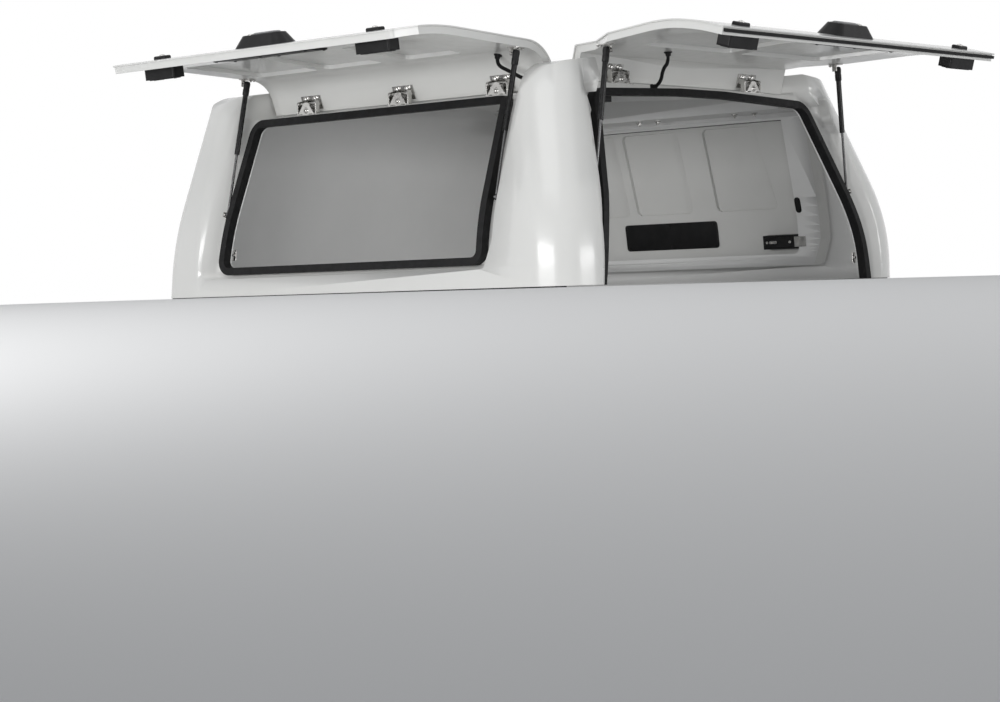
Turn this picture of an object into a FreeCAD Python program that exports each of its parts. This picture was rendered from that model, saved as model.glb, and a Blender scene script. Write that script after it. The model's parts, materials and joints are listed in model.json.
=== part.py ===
"""Pickup truck canopy: a moulded shell with three lift-up doors on hinges and gas struts.

Frame: +X to the truck's right, +Y forward to the cab, +Z up, millimetres. The origin is at the
middle of the front base flange, on the plane where the base gasket rests on the bed rails.
Distances called back_* are measured forward from the shell's rear face at its base.
"""
import FreeCAD, Part
import math
import os
from FreeCAD import Placement, Rotation, Vector

os.makedirs("parts", exist_ok=True)
doc = FreeCAD.newDocument("Canopy")

# Driving dimensions, kept in a sheet: alias, value
# back: forward from the rear face; ahead: rearward from the front face; inset: inward from the
# widest half width; drop: down from the eave; share: part of the side door's width
SIZES = [
    # shell form
    ("shell_length", 1690), ("base_half_width", 835), ("belt_height", 180), ("belt_radius", 800),
    ("side_lean", 16.8), ("eave_height", 632), ("roof_crown", 42), ("roof_rise", 2),
    ("shoulder_radius", 115), ("crown_share", 0.86), ("rear_rake", 18.5), ("front_rake", 7.4),
    ("rear_corner_radius", 135), ("front_corner_radius", 50), ("least_radius", 12),
    ("front_top_radius", 120), ("rear_top_radius", 60), ("rear_top_margin", 0.4),
    ("skin", 5), ("base_flange", 42), ("flange_thick", 6), ("gasket_thick", 4), ("gasket_width", 34),
    # door recesses and gutters
    ("recess_depth", 55), ("door_gap", 5), ("recess_corner", 22),
    ("side_sill", 58), ("side_knee", 140), ("side_top_drop", 12),
    ("side_back_low", 318), ("side_back_knee", 287), ("side_back_top", 268),
    ("side_ahead_low", 177), ("side_ahead_knee", 190), ("side_ahead_top", 253),
    ("side_gutter_drop", 74), ("side_roof_inset", 305),
    ("rear_inset_low", 141), ("rear_inset_knee", 155), ("rear_knee", 180),
    ("rear_inset_eave", 227), ("rear_eave_drop", 147), ("rear_inset_top", 322), ("rear_top_drop", 32),
    ("rear_gutter_drop", 44), ("rear_roof_back", 296),
    ("relief_inset", 236), ("relief_width", 46), ("relief_drop", 50), ("relief_height", 110),
    ("relief_depth", 35), ("relief_corner", 10),
    # openings, to the outer edge of their seals
    ("seal_width", 23), ("seal_recess", 26), ("seal_corner", 44), ("seal_corner_sharp", 24),
    ("opening_sill", 70), ("opening_head_drop", 80), ("opening_back_low", 350), ("opening_back_top", 332),
    ("opening_ahead_low", 225), ("opening_ahead_top", 288),
    ("rear_open_inset_low", 151), ("rear_open_inset_knee", 185), ("rear_open_knee_height", 150),
    ("rear_open_inset_top", 311), ("rear_open_head_drop", 66), ("rear_open_arch", 14), ("rear_seal_corner", 60),
    # where the moulding is divided
    ("front_split_ahead", 150), ("roof_split_drop", 96),
    # fields of the door liners
    ("side_bay_low", 245), ("side_bay_drop", 112), ("side_bay_slant", 40), ("bay_corner", 18),
    ("side_bay_share_1", 0.119), ("side_bay_share_2", 0.33), ("side_bay_share_3", 0.417),
    ("side_bay_share_4", 0.619), ("side_bay_share_5", 0.648), ("side_bay_share_6", 0.9),
    ("rear_bay_low", 170), ("rear_bay_drop", 162), ("rear_bay_inset", 320), ("rear_bay_inset_top", 405),
    ("rear_bay_rib", 60),
    # doors
    ("door_skin", 4), ("door_thick", 25), ("liner_inset", 4), ("bay_depth", 12),
    ("side_hinge_inset", 235), ("side_hinge_drop", 34), ("side_flange_inset", 270),
    ("side_open_angle", 77), ("rear_hinge_back", 225), ("rear_hinge_drop", 8),
    ("rear_flange_back", 260), ("rear_open_angle", 74.5), ("rear_door_foot", 8),
    ("rear_shoulder_gap", 18),
    ("strip_back", 7), ("strip_width", 9), ("strip_drop", 6),
    # hinges
    ("hinge_width", 84), ("hinge_pin_radius", 4), ("hinge_eye_radius", 8), ("hinge_foot", 44), ("hinge_plate", 3),
    ("hinge_ear_width", 4), ("hinge_back", 453), ("hinge_ahead", 439), ("rear_hinge_inset", 509),
    # gas struts
    ("tube_radius", 8), ("bore_radius", 6), ("rod_radius", 4), ("rod_clearance", 0.5), ("gland_length", 12),
    ("ball_radius", 5), ("socket_radius", 8.5), ("socket_length", 18), ("pivot_gap", 0.6),
    ("stud_plate", 3), ("stud_plate_size", 34), ("stud_plate_length", 25),
    ("stud_depth", 43), ("leg_thick", 4), ("leg_width", 15), ("stud_pin_length", 6),
    ("side_stud_drop", 360), ("side_stud_back", 326), ("side_stud_ahead", 236),
    ("side_bracket_drop", 104), ("side_strut_lean", 34), ("side_tube_length", 222), ("side_rod_length", 215),
    ("rear_stud_inset", 211), ("rear_stud_drop", 338), ("rear_bracket_inset", 261),
    ("rear_bracket_drop", 137), ("rear_tube_length", 198), ("rear_rod_length", 196),
    # latches and handles
    ("latch_length", 130), ("latch_width", 46), ("latch_height", 34), ("latch_round", 5),
    ("side_latch_back", 452), ("side_latch_ahead", 340), ("side_latch_height", 138),
    ("rear_latch_inset", 280), ("rear_latch_height", 52),
    ("cap_length", 52), ("cap_width", 28), ("cap_height", 10), ("seat_depth", 3),
    ("striker_plate", 3), ("striker_length", 44), ("striker_width", 34), ("striker_pin", 4),
    ("striker_seat", 0.3),
    ("handle_length", 214), ("handle_width", 88), ("handle_height", 34), ("handle_corner", 36),
    ("handle_top_length", 150), ("handle_top_width", 54), ("handle_top_corner", 22), ("handle_round", 5),
    ("side_handle_share", 0.491), ("side_handle_height", 146), ("rear_handle_height", 90),
    ("cover_length", 400), ("cover_width", 92), ("cover_height", 6),
    ("side_cover_share", 0.505), ("side_cover_height", 173),
    ("side_striker_back", 364), ("side_striker_ahead", 250), ("rear_striker_inset", 191),
    ("rear_striker_height", 72),
    # interior lamp
    ("lamp_inset", 445), ("lamp_back", 245),
    ("lamp_length", 62), ("lamp_width", 40), ("lamp_height", 46),
]

sheet = doc.addObject("Spreadsheet::Sheet", "Sizes")
for row, (alias, value) in enumerate(SIZES, start=1):
    sheet.set(f"A{row}", alias)
    sheet.set(f"B{row}", str(value))
    sheet.setAlias(f"B{row}", alias)
doc.recompute()


def size(alias):
    """A driving dimension, read from the sheet."""
    return float(sheet.get(alias))


REAR = -(size("shell_length") - size("base_flange") / 2)
BELOW = -200
FAR = 3000


def back(alias):
    """Y of a dimension that is measured forward from the rear face."""
    return REAR + size(alias)


def ahead(alias):
    """Y of a dimension that is measured rearward from the front face at its base."""
    return REAR + size("shell_length") - size(alias)


def inset(alias):
    """X of a dimension that is measured inward from the widest half width."""
    return size("base_half_width") - size(alias)


def drop(alias):
    """Z of a dimension that is measured down from the eave."""
    return size("eave_height") - size(alias)


def share(alias):
    """Y of a place stated as a share of the side door's width."""
    return back("side_back_low") + size(alias) * (ahead("side_ahead_low") - back("side_back_low"))


def line_offset(points, distance):
    """Closed counter-clockwise outline moved inward by distance, edge by edge."""
    moved = []
    count = len(points)
    for i in range(count):
        (ax, ay), (bx, by), (cx, cy) = points[i - 1], points[i], points[(i + 1) % count]
        first = math.hypot(bx - ax, by - ay)
        second = math.hypot(cx - bx, cy - by)
        n1 = (-(by - ay) / first, (bx - ax) / first)
        n2 = (-(cy - by) / second, (cx - bx) / second)
        scale = distance / (1 + n1[0] * n2[0] + n1[1] * n2[1])
        moved.append((bx + (n1[0] + n2[0]) * scale, by + (n1[1] + n2[1]) * scale))
    return moved


def rounded_face(points, radii, place):
    """Face of an outline whose corners are rounded; place turns a 2-D point into a Vector."""
    edges = []
    starts = []
    ends = []
    mids = []
    count = len(points)
    for i in range(count):
        a, b, c = (Vector(*points[j % count], 0) for j in (i - 1, i, i + 1))
        u = (a - b).normalize()
        v = (c - b).normalize()
        half = u.getAngle(v) / 2
        if radii[i] > 0:
            reach = radii[i] / math.tan(half)
            centre = b + (u + v).normalize() * (radii[i] / math.sin(half))
            starts.append(b + u * reach)
            ends.append(b + v * reach)
            mids.append(centre + (b - centre).normalize() * radii[i])
        else:
            starts.append(b)
            ends.append(b)
            mids.append(None)
    for i in range(count):
        if mids[i] is not None:
            edges.append(Part.Arc(place(starts[i]), place(mids[i]), place(ends[i])).toShape())
        follower = starts[(i + 1) % count]
        if (ends[i] - follower).Length > 1e-6:
            edges.append(Part.makeLine(place(ends[i]), place(follower)))
    return Part.Face(Part.Wire(edges))


def front_view(y):
    """Places an outline drawn in X and Z on the plane at y."""
    return lambda p: Vector(p.x, y, p.y)


def side_view(x):
    """Places an outline drawn in Y and Z on the plane at x."""
    return lambda p: Vector(x, p.x, p.y)


def across_outline(depth):
    """Outline of the cross-section in X and Z, moved inward by depth."""
    lean = math.tan(math.radians(size("side_lean")))
    half = size("base_half_width")
    shoulder = half - (size("eave_height") - size("belt_height")) * lean
    # the two roof slopes are tangents of the crown's arc
    peak = size("eave_height") + 2 * size("roof_crown")
    points = [(-half, BELOW), (half, BELOW), (half, size("belt_height")), (shoulder, size("eave_height")),
              (0, peak), (-shoulder, size("eave_height")), (-half, size("belt_height"))]
    points = line_offset(points, depth)
    points[0] = (points[0][0], BELOW)
    points[1] = (points[1][0], BELOW)
    return points


def along_outline(depth):
    """Outline of the lengthwise section in Y and Z, moved inward by depth."""
    rear = math.tan(math.radians(size("rear_rake")))
    nose = math.tan(math.radians(size("front_rake")))
    top = size("eave_height") + size("roof_crown") * (2 - size("crown_share")) + size("roof_rise")
    front = REAR + size("shell_length")
    points = [(REAR, BELOW), (front - BELOW * nose, BELOW), (front - top * nose, top),
              (REAR + (top - size("belt_height")) * rear, top), (REAR, size("belt_height"))]
    points = line_offset(points, depth)
    points[0] = (points[0][0], BELOW)
    scale = (BELOW - points[1][1]) / (points[2][1] - points[1][1])
    points[1] = (points[1][0] + (points[2][0] - points[1][0]) * scale, BELOW)
    return points


def upright(edge):
    """Whether an edge runs up a corner of the walls."""
    low, high = edge.Vertexes[0].Point, edge.Vertexes[-1].Point
    return abs(high.z - low.z) > 0.5 * (high - low).Length


def walls(depth):
    """The four walls without the roof, moved inward by depth, with rounded belt and corners."""
    across = across_outline(depth)
    along = along_outline(depth)
    top = size("eave_height") + 300
    half, belt = across[2]
    lean = (half - across[3][0]) / (across[3][1] - belt)
    rear_y, rear_belt = along[4]
    rake = (along[3][0] - rear_y) / (along[3][1] - rear_belt)
    front_y = along[1][0]
    nose = (front_y - along[2][0]) / (along[2][1] - along[1][1])
    bend = size("belt_radius") - depth
    points = [(-half, BELOW), (half, BELOW), (half, belt), (half - (top - belt) * lean, top),
              (-half + (top - belt) * lean, top), (-half, belt)]
    sides = rounded_face(points, [0, 0, bend, 0, 0, bend], front_view(REAR - 200))
    points = [(rear_y, BELOW), (front_y, BELOW), (front_y - (top - BELOW) * nose, top),
              (rear_y + (top - rear_belt) * rake, top), (rear_y, rear_belt)]
    ends = rounded_face(points, [0, 0, 0, 0, bend], side_view(-FAR / 2))
    body = sides.extrude(Vector(0, size("shell_length") + 600, 0)).common(ends.extrude(Vector(FAR, 0, 0)))
    middle = REAR + size("shell_length") / 2
    radius = max(size("rear_corner_radius") - depth, size("least_radius"))
    body = body.makeFillet(radius, [e for e in body.Edges if upright(e) and e.CenterOfMass.y < middle])
    radius = max(size("front_corner_radius") - depth, size("least_radius"))
    return body.makeFillet(radius, [e for e in body.Edges if upright(e) and e.CenterOfMass.y > middle])


def form(depth, low=0.0):
    """The canopy's outer form moved inward by depth, as a solid that starts at height low."""
    across = across_outline(depth)
    along = along_outline(depth)
    shoulder_x = across[3][0]
    crown_half = math.hypot(shoulder_x, across[4][1] - across[3][1])
    slope = math.atan2(across[4][1] - across[3][1], shoulder_x)
    crown_radius = crown_half * size("crown_share") / math.tan(slope)
    eave_r = max(size("shoulder_radius") - depth, size("least_radius"))
    body = rounded_face(across, [0, 0, 0, eave_r, crown_radius, eave_r, 0], front_view(REAR - 200))
    body = body.extrude(Vector(0, size("shell_length") + 600, 0))
    nose_r = max(size("front_top_radius") - depth, size("least_radius"))
    tail_r = max(size("rear_top_radius") - depth, size("least_radius"))
    # the profile's rear stands slightly behind the walls, so that their faces cross cleanly
    along = along[:3] + [(y - size("rear_top_margin"), z) for y, z in along[3:]]
    profile = rounded_face(along, [0, 0, nose_r, tail_r, 0], side_view(-FAR / 2))
    body = body.common(profile.extrude(Vector(FAR, 0, 0))).common(walls(depth))
    keep = Part.makeBox(2 * FAR, 2 * FAR, FAR, Vector(-FAR, -FAR, low))
    return body.common(keep)


def side_recess_outline(shrink=0.0):
    """Outline in Y and Z of a side door's recess, counter-clockwise."""
    above = size("eave_height") + size("roof_crown") + 60
    points = [(back("side_back_low"), size("side_sill")), (ahead("side_ahead_low"), size("side_sill")),
              (ahead("side_ahead_knee"), size("side_knee")), (ahead("side_ahead_top"), drop("side_top_drop")),
              (ahead("side_ahead_top"), above), (back("side_back_top"), above),
              (back("side_back_top"), drop("side_top_drop")), (back("side_back_knee"), size("side_knee"))]
    return line_offset(points, shrink)


def side_prism(points, corner, inboard, sign):
    """Side outline extruded from the plane |x| = inboard outward, on the side of sign."""
    radii = [corner, corner] + [0] * (len(points) - 2)
    face = rounded_face(points, radii, side_view(sign * inboard))
    return face.extrude(Vector(sign * 500, 0, 0))


def rear_recess_outline(shrink=0.0, foot=-40.0, lower=0.0):
    """Outline in X and Z of the rear door's recess, counter-clockwise, its shoulders lowered."""
    above = size("eave_height") + size("roof_crown") + 60
    low, knee = inset("rear_inset_low"), inset("rear_inset_knee")
    eave, top = inset("rear_inset_eave"), inset("rear_inset_top")
    eave_z, top_z = drop("rear_eave_drop") - lower, drop("rear_top_drop") - lower
    points = [(-low, foot), (low, foot), (knee, size("rear_knee")), (eave, eave_z), (top, top_z), (top, above),
              (-top, above), (-top, top_z), (-eave, eave_z), (-knee, size("rear_knee"))]
    return line_offset(points, shrink)


def rear_prism(points, inboard):
    """Rear outline extruded from the plane y = inboard backward."""
    face = rounded_face(points, [0] * len(points), front_view(inboard))
    return face.extrude(Vector(0, -600, 0))


def side_opening_outline(shrink=0.0):
    """Outline in Y and Z of the outer edge of a side opening's seal."""
    points = [(back("opening_back_low"), size("opening_sill")),
              (ahead("opening_ahead_low"), size("opening_sill")),
              (ahead("opening_ahead_top"), drop("opening_head_drop")),
              (back("opening_back_top"), drop("opening_head_drop"))]
    return line_offset(points, shrink)


def side_opening_prism(shrink, sign):
    """Side opening's outline extruded from the middle of the cargo space outward."""
    corner = size("seal_corner")
    radii = [corner - shrink, corner - shrink, corner + 8 - shrink, max(size("seal_corner_sharp") - shrink, 2)]
    start = size("base_half_width") / 3
    face = rounded_face(side_opening_outline(shrink), radii, side_view(sign * start))
    return face.extrude(Vector(sign * size("base_half_width"), 0, 0))


def rear_opening_prism(shrink):
    """Rear opening's outline, extruded from inside the cargo space backward."""
    foot = -60
    head = drop("rear_open_head_drop")
    arch = head + 2 * size("rear_open_arch")
    low, knee, top = (inset("rear_open_inset_" + place) for place in ("low", "knee", "top"))
    bend = size("rear_open_knee_height")
    points = [(-low, foot), (low, foot), (knee, bend), (top, head), (0, arch), (-top, head), (-knee, bend)]
    points = line_offset(points, shrink)
    points[0] = (points[0][0], foot)
    points[1] = (points[1][0], foot)
    corner = size("rear_seal_corner") - shrink
    slope = math.atan2(2 * size("rear_open_arch"), top)
    arch_radius = (top - 100) / math.tan(slope)
    radii = [0, 0, size("belt_radius"), corner, arch_radius, corner, size("belt_radius")]
    face = rounded_face(points, radii, front_view(REAR + 500))
    return face.extrude(Vector(0, -700, 0))


def box_between(x0, x1, y0, y1, z0, z1):
    """Box from its lowest to its highest corner."""
    return Part.makeBox(x1 - x0, y1 - y0, z1 - z0, Vector(x0, y0, z0))


# The shell moulding

BASE = size("gasket_thick")
outer = form(0)
inner_skin = form(size("skin"), -40)
recess_floor = form(size("recess_depth"), -60)
recess_back = form(size("recess_depth") + size("skin"), -60)
door_inner = form(size("door_thick"), -60)
seal_front = form(size("seal_recess"), -60)


def gutter_box(grow):
    """Space of the hinge gutters of all three doors, grown by grow."""
    z_side = drop("side_gutter_drop") - grow
    z_rear = drop("rear_gutter_drop") - grow
    edge = inset("side_roof_inset") - grow
    half = inset("rear_inset_top") + grow
    left = box_between(-FAR, -edge, -FAR, FAR, z_side, FAR)
    right = box_between(edge, FAR, -FAR, FAR, z_side, FAR)
    rear = box_between(-half, half, -FAR, back("rear_roof_back") + grow, z_rear, FAR)
    return left, right, rear


def strut_reliefs(grow):
    """Shallow hollows beside the rear neck, where the rear struts swing past the pillars."""
    outside = inset("relief_inset") + grow
    inside = outside - size("relief_width") - 2 * grow
    top = drop("relief_drop") + grow
    low = top - size("relief_height") - 2 * grow
    kept = form(size("relief_depth") + grow, -60)
    reliefs = []
    for start, end in ((inside, outside), (-outside, -inside)):
        points = [(start, low), (end, low), (end, top), (start, top)]
        face = rounded_face(points, [size("relief_corner") + grow] * 4, front_view(back("rear_roof_back")))
        reliefs.append(face.extrude(Vector(0, -600, 0)).cut(kept))
    return reliefs


def recess_cutter(grow, floor):
    """The three door recesses, down to floor, with their hinge gutters and the strut reliefs."""
    left_gutter, right_gutter, rear_gutter = gutter_box(grow)
    side_points = side_recess_outline(-grow)
    corner = size("recess_corner") + grow
    inboard = inset("side_roof_inset") - grow
    left = side_prism(side_points, corner, inboard, -1)
    right = side_prism(side_points, corner, inboard, 1)
    rear = rear_prism(rear_recess_outline(-grow), back("rear_roof_back") + grow)
    left = left.cut(floor.cut(left_gutter))
    right = right.cut(floor.cut(right_gutter))
    rear = rear.cut(floor.cut(rear_gutter))
    return left, right, rear, *strut_reliefs(grow)


recesses = recess_cutter(0.0, recess_floor)
linings = recess_cutter(size("skin"), recess_back)
hollow = inner_skin.cut(Part.makeCompound(linings[:2])).cut(linings[2])
for lining in linings[3:]:
    hollow = hollow.cut(lining)
flange_hole = box_between(-size("base_half_width") + size("base_flange"),
                          size("base_half_width") - size("base_flange"), REAR - 100,
                          size("base_flange") / 2 - size("base_flange"), -100, 100)
above_flange = box_between(-FAR, FAR, -FAR, FAR, BASE + size("flange_thick"), FAR)
cavity = hollow.common(above_flange).fuse(hollow.common(flange_hole))
shell = outer.common(box_between(-FAR, FAR, -FAR, FAR, BASE, FAR)).cut(cavity)
for recess in recesses:
    shell = shell.cut(recess)
for sign in (-1, 1):
    shell = shell.cut(side_opening_prism(size("seal_width"), sign))
shell = shell.cut(rear_opening_prism(size("seal_width")))


# Splitting the moulding into its named sides

pieces = {}


def cells(shape):
    """Compound of the shape's solids, tidied."""
    return Part.makeCompound(shape.removeSplitter().Solids)


WALL_Y = ahead("front_split_ahead")
ROOF_Z = drop("roof_split_drop")
behind = box_between(-FAR, FAR, -FAR, WALL_Y, -100, ROOF_Z)
pieces["front_wall"] = cells(shell.common(box_between(-FAR, FAR, WALL_Y, FAR, -100, FAR)))
pieces["roof"] = cells(shell.common(box_between(-FAR, FAR, -FAR, WALL_Y, ROOF_Z, FAR)))
sides = shell.common(behind)
pieces["left_side"] = cells(sides.common(box_between(-FAR, 0, -FAR, FAR, -100, FAR)))
pieces["right_side"] = cells(sides.common(box_between(0, FAR, -FAR, FAR, -100, FAR)))

# Base gasket: left, right and front strip, with small gaps between them

gasket = form(4, 0).common(box_between(-FAR, FAR, -FAR, FAR, 0, BASE))
inner_x = size("base_half_width") - 4 - size("gasket_width")
front_y = size("base_flange") / 2 - 4 - size("gasket_width")
gasket = gasket.cut(box_between(-inner_x, inner_x, -FAR, front_y, -1, 10))
for sign in (-1, 1):
    gasket = gasket.cut(box_between(sign * inner_x - 1, sign * inner_x + 1, front_y - 5, FAR, -1, 10))
pieces["base_gasket"] = cells(gasket)

# Seals: a ring round each opening, between the recess floor and the closed door

seal_band = seal_front.cut(recess_floor)
rings = []
for sign in (-1, 1):
    ring = side_opening_prism(0, sign).cut(side_opening_prism(size("seal_width"), sign))
    rings += ring.common(seal_band).removeSplitter().Solids
ring = rear_opening_prism(0).cut(rear_opening_prism(size("seal_width")))
ring = ring.common(box_between(-FAR, FAR, -FAR, FAR, BASE, FAR))
rings += ring.common(seal_band).removeSplitter().Solids
pieces["opening_seals"] = Part.makeCompound(rings)

# Door mouldings, built closed on the right side and at the rear

skin_inside = form(size("door_skin"), -60)
pan_outside = form(size("door_thick") - size("door_skin"), -60)
bay_floor = form(size("door_thick") - size("bay_depth"), -60)
bay_back = form(size("door_thick") - size("bay_depth") - size("door_skin"), -60)


def side_door_prism(shrink):
    """The side door's outline moved inward by shrink."""
    corner = size("recess_corner") - shrink
    inboard = inset("side_flange_inset") + shrink - size("door_gap")
    return side_prism(side_recess_outline(shrink), corner, inboard, 1)


def rear_door_prism(shrink):
    """The rear door's outline moved inward by shrink."""
    foot = size("rear_door_foot") - size("door_gap")
    flange = back("rear_flange_back") - shrink + size("door_gap")
    return rear_prism(rear_recess_outline(shrink, foot, size("rear_shoulder_gap")), flange)


def tapered_bay(low, high, low_start, low_end, high_start, high_end, radius, grow, place, shift):
    """A recessed field between ribs, as a prism; grow widens it."""
    points = [(low_start, low), (low_end, low), (high_end, high), (high_start, high)]
    return rounded_face(line_offset(points, -grow), [radius + grow] * 4, place).extrude(shift)


def side_bays(grow):
    """Recessed fields of the side door's liner."""
    low = size("side_bay_low")
    high = drop("side_bay_drop")
    slant = size("side_bay_slant")
    fields = []
    for number in (1, 3, 5):
        start = share("side_bay_share_" + str(number))
        end = share("side_bay_share_" + str(number + 1))
        first = start + (slant if number == 1 else 0)
        last = end - (slant if number == 5 else 0)
        fields.append(tapered_bay(low, high, start, end, first, last, size("bay_corner"), grow,
                                  side_view(inset("side_flange_inset")), Vector(500, 0, 0)))
    return Part.makeCompound(fields)


def rear_bays(grow):
    """Recessed fields of the rear door's liner."""
    low = size("rear_bay_low")
    high = drop("rear_bay_drop")
    half = inset("rear_bay_inset")
    top = inset("rear_bay_inset_top")
    rib = size("rear_bay_rib") / 2
    place = front_view(back("rear_flange_back"))
    shift = Vector(0, -600, 0)
    left = tapered_bay(low, high, -half, -rib, -top, -rib, size("bay_corner"), grow, place, shift)
    right = tapered_bay(low, high, rib, half, rib, top, size("bay_corner"), grow, place, shift)
    return Part.makeCompound([left, right])


def door_shapes(prism, bays):
    """Outer skin and hollow inner liner of a door."""
    skin = outer.common(prism(size("door_gap"))).cut(skin_inside)
    edge = size("door_gap") + size("liner_inset")
    block = skin_inside.common(prism(edge)).cut(door_inner)
    block = block.cut(bays(0).common(bay_floor))
    space = skin_inside.common(prism(edge + size("door_skin"))).cut(pan_outside)
    space = space.cut(bays(size("door_skin")).common(bay_back))
    return cells(skin), cells(block.cut(space))


closed = {}
closed["right_door_skin"], closed["right_door_liner"] = door_shapes(side_door_prism, side_bays)
closed["rear_door_skin"], closed["rear_door_liner"] = door_shapes(rear_door_prism, rear_bays)

# Frames on the side and the rear face

LEAN = math.radians(size("side_lean"))
RAKE = math.radians(size("rear_rake"))


def frame_at(across, up, out, point):
    """Placement whose own X, Y and Z run across, up and out of a panel."""
    return Placement(FreeCAD.Matrix(across.x, up.x, out.x, point.x, across.y, up.y, out.y, point.y,
                                    across.z, up.z, out.z, point.z, 0, 0, 0, 1))


def on_profile(height, tilt):
    """Tilt of the outer face at height, and how far it lies inboard of its vertical foot."""
    bend = size("belt_radius")
    reach = bend * math.tan(tilt / 2)
    start = size("belt_height") - reach
    if height < start:
        return 0.0, 0.0
    if height > size("belt_height") + reach * math.cos(tilt):
        return tilt, (height - size("belt_height")) * math.tan(tilt)
    here = math.asin((height - start) / bend)
    return here, bend * (1 - math.cos(here))


def side_spot(y, height, depth):
    """Frame on the right side, depth below the outer face at height."""
    tilt, inboard = on_profile(height, LEAN)
    out = Vector(math.cos(tilt), 0, math.sin(tilt))
    up = Vector(-math.sin(tilt), 0, math.cos(tilt))
    return frame_at(Vector(0, 1, 0), up, out, Vector(size("base_half_width") - inboard, y, height) - out * depth)


def rear_spot(x, height, depth):
    """Frame on the rear face, depth below the outer face at height."""
    tilt, inboard = on_profile(height, RAKE)
    out = Vector(0, -math.cos(tilt), math.sin(tilt))
    up = Vector(0, math.sin(tilt), math.cos(tilt))
    return frame_at(Vector(1, 0, 0), up, out, Vector(x, REAR + inboard, height) - out * depth)


def bound(kind, name, **formulas):
    """A primitive whose properties follow the sheet."""
    thing = doc.addObject("Part::" + kind, name)
    for key, formula in formulas.items():
        path = key.replace("at_", "Placement.Base.") if key.startswith("at_") else key
        thing.setExpression(path, formula)
    return thing


def turned(thing, axis, angle):
    """Turns a primitive about its own base point."""
    thing.Placement = Placement(thing.Placement.Base, Rotation(axis, angle))
    return thing


def joined(name, *parts):
    """Fuses primitives into one shape."""
    thing = doc.addObject("Part::MultiFuse", name)
    thing.Shapes = list(parts)
    return thing


def less(name, base, tool):
    """Cuts one primitive from another."""
    thing = doc.addObject("Part::Cut", name)
    thing.Base = base
    thing.Tool = tool
    return thing


def softened(name, base, radius, edges):
    """Rounds the numbered edges of a primitive."""
    thing = doc.addObject("Part::Fillet", name)
    thing.Base = base
    thing.Edges = [(edge, radius, radius) for edge in edges]
    return thing


def placed(thing, *frames):
    """Copies of a shape, one in each frame."""
    shape = thing.Shape if hasattr(thing, "Shape") else thing
    copies = []
    for frame in frames:
        copy = shape.copy()
        copy.Placement = frame.multiply(shape.Placement)
        copies.append(copy)
    return copies


# Small fittings, drawn once and used where they sit

latch_box = bound("Box", "LatchBox", Length="Sizes.latch_length", Width="Sizes.latch_width",
                  Height="Sizes.latch_height + Sizes.seat_depth", at_x="-Sizes.latch_length / 2",
                  at_y="-Sizes.latch_width / 2", at_z="-Sizes.latch_height")
latch_block = softened("LatchBlock", latch_box, size("latch_round"), [2, 6, 4, 8, 1, 3, 5, 7])
cap_box = bound("Box", "CapBox", Length="Sizes.cap_length", Width="Sizes.cap_width",
                Height="Sizes.cap_height + Sizes.seat_depth", at_x="-Sizes.cap_length / 2",
                at_y="-Sizes.cap_width / 2", at_z="-Sizes.seat_depth")
latch_cap = softened("LatchCap", cap_box, size("latch_round"), [2, 6, 10, 12, 1, 3, 5, 7])


def rounded_plan(length, width, corner, height):
    """Wire of a rounded rectangle at height."""
    points = [(-length / 2, -width / 2), (length / 2, -width / 2), (length / 2, width / 2),
              (-length / 2, width / 2)]
    return rounded_face(points, [corner] * 4, lambda p: Vector(p.x, p.y, height)).OuterWire


# the handle's housing tapers to a flat top
HANDLE_FOOT = rounded_plan(size("handle_length"), size("handle_width"), size("handle_corner"), -size("seat_depth"))
HANDLE_TOP = rounded_plan(size("handle_top_length"), size("handle_top_width"), size("handle_top_corner"),
                          size("handle_height"))
handle_loft = Part.makeLoft([HANDLE_FOOT, HANDLE_TOP], True, True)
top_edges = [edge for edge in handle_loft.Edges if edge.BoundBox.ZMin > size("handle_height") - 1]
handle = handle_loft.makeFillet(size("handle_round"), top_edges)
cover_box = bound("Box", "CoverBox", Length="Sizes.cover_length", Width="Sizes.cover_width",
                  Height="Sizes.cover_height + Sizes.seat_depth", at_x="-Sizes.cover_length / 2",
                  at_y="-Sizes.cover_width / 2", at_z="-Sizes.cover_height")
plate = bound("Box", "StrikerPlate", Length="Sizes.striker_length", Width="Sizes.striker_width",
              Height="Sizes.striker_plate", at_x="-Sizes.striker_length / 2",
              at_y="-Sizes.striker_width / 2", at_z="-Sizes.striker_plate - Sizes.striker_seat")
bolt = bound("Cylinder", "StrikerPin", Radius="Sizes.striker_pin", Height="Sizes.skin + Sizes.striker_plate",
             at_x="-Sizes.striker_length / 2 + Sizes.striker_pin + 3", at_z="-Sizes.striker_plate")
striker = joined("Striker", plate, bolt)
STUD_SIDE = "-(Sizes.socket_length / 2 + Sizes.pivot_gap + Sizes.stud_pin_length + Sizes.leg_thick)"
stud_base = bound("Box", "StudBase", Length="Sizes.stud_plate_length", Width="Sizes.stud_plate_size",
                  Height="Sizes.stud_plate", at_x=STUD_SIDE, at_y="-Sizes.stud_plate_size / 2")
stud_leg = bound("Box", "StudLeg", Length="Sizes.leg_thick", Width="Sizes.leg_width",
                 Height="Sizes.recess_depth - Sizes.stud_depth + Sizes.ball_radius",
                 at_x="-Sizes.socket_length / 2 - Sizes.pivot_gap - Sizes.stud_pin_length - Sizes.leg_thick",
                 at_y="-Sizes.leg_width / 2")
stud_pin = turned(bound("Cylinder", "StudPin", Radius="Sizes.ball_radius",
                        Height="Sizes.stud_pin_length + Sizes.leg_thick / 2",
                        at_x="-Sizes.socket_length / 2 - Sizes.pivot_gap - Sizes.stud_pin_length"
                             " - Sizes.leg_thick / 2",
                        at_z="Sizes.recess_depth - Sizes.stud_depth"), Vector(0, 1, 0), 90)
floor_stud = joined("FloorStud", stud_base, stud_leg, stud_pin)
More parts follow.
